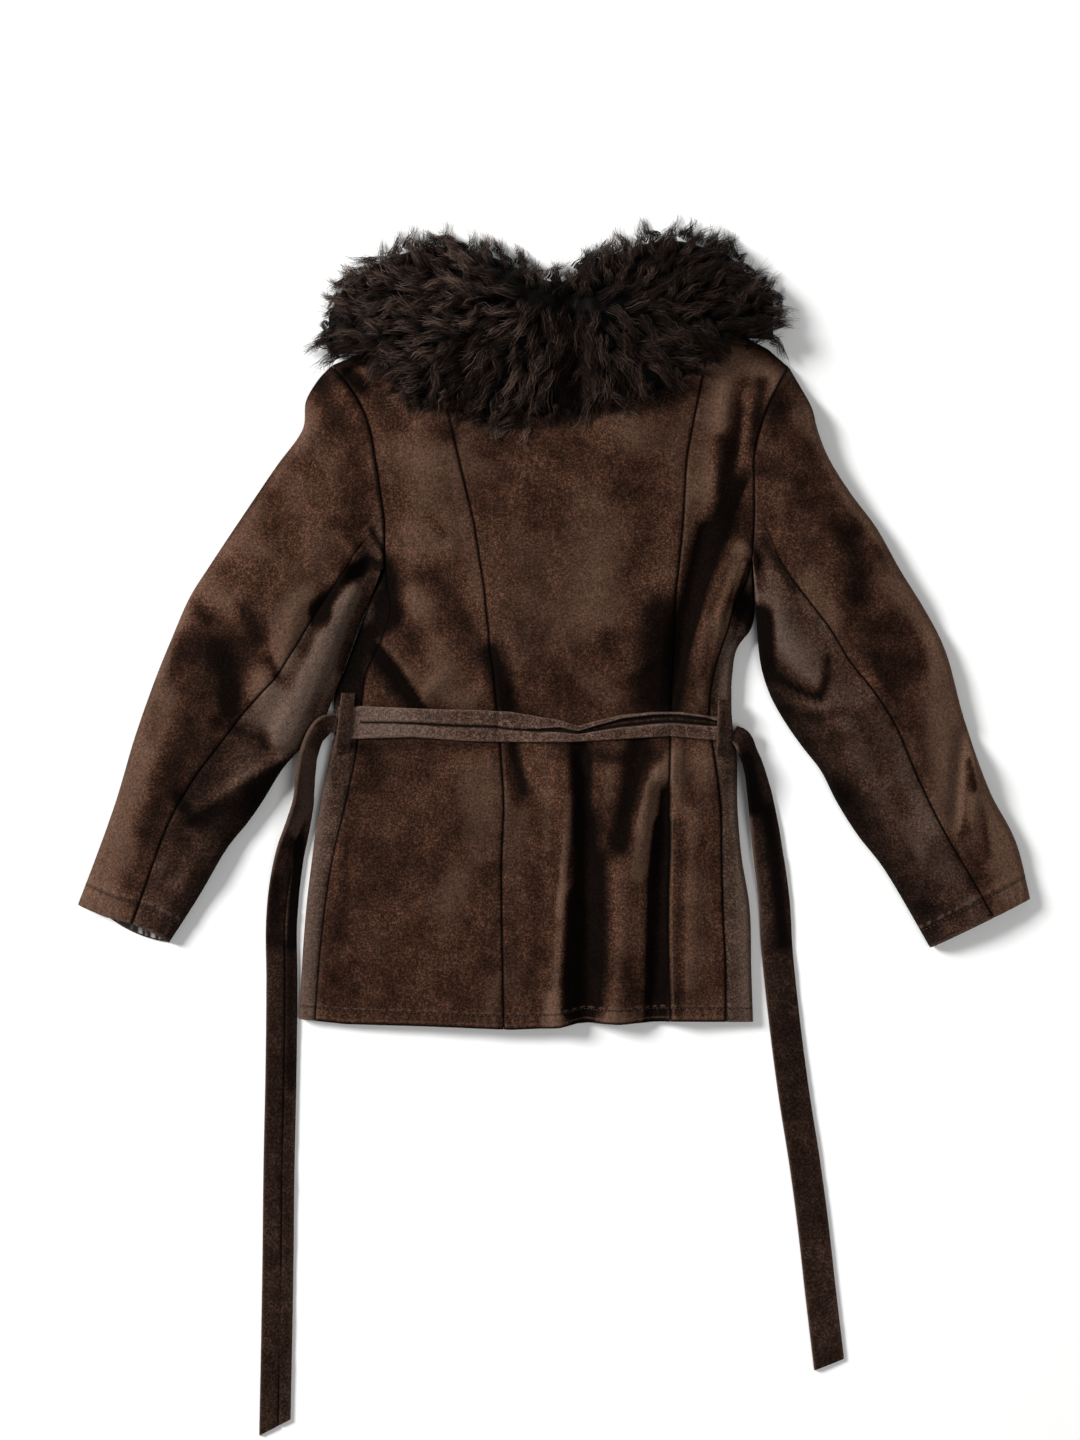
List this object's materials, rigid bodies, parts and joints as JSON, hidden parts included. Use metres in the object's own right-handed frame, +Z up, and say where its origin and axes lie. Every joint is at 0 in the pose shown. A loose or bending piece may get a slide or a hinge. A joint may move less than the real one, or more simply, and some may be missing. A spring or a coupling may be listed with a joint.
{
  "type": "belted suede coat with a fur collar, lying front down",
  "caption": "Short suede coat with a wide shaggy fur collar, set-in sleeves, princess seams and a long tie belt in loops, spread flat with its back up.",
  "frame": {"origin": "centre of the bounding box, on the surface that the coat lies on", "axes": "+Z up from the surface, +Y along the body towards the collar, +X towards the wearer's right side, which is on the right because the back is on top"},
  "size_m": [0.95, 1.2065, 0.0795],
  "materials": {
    "suede": "napped, matt",
    "suede_greyer": "napped, matt",
    "rough_side_suede": "rough flesh side, matt",
    "fur": "long curly pile, soft sheen",
    "satin_lining": "satin"
  },
  "bodies": {
    "root": {"back_centre": "suede", "back_left_side": "suede", "back_right_side": "suede", "front_left": "suede_greyer", "front_right": "suede_greyer", "sleeve_left_top": "suede", "sleeve_left_under": "suede_greyer", "sleeve_right_top": "suede", "sleeve_right_under": "suede_greyer", "collar": "fur", "belt_waist": "rough_side_suede", "belt_tail_left": "rough_side_suede", "belt_tail_right": "rough_side_suede", "belt_loop_left": "rough_side_suede", "belt_loop_right": "rough_side_suede", "cuff_lining_left": "satin_lining"}
  },
  "joints": []
}
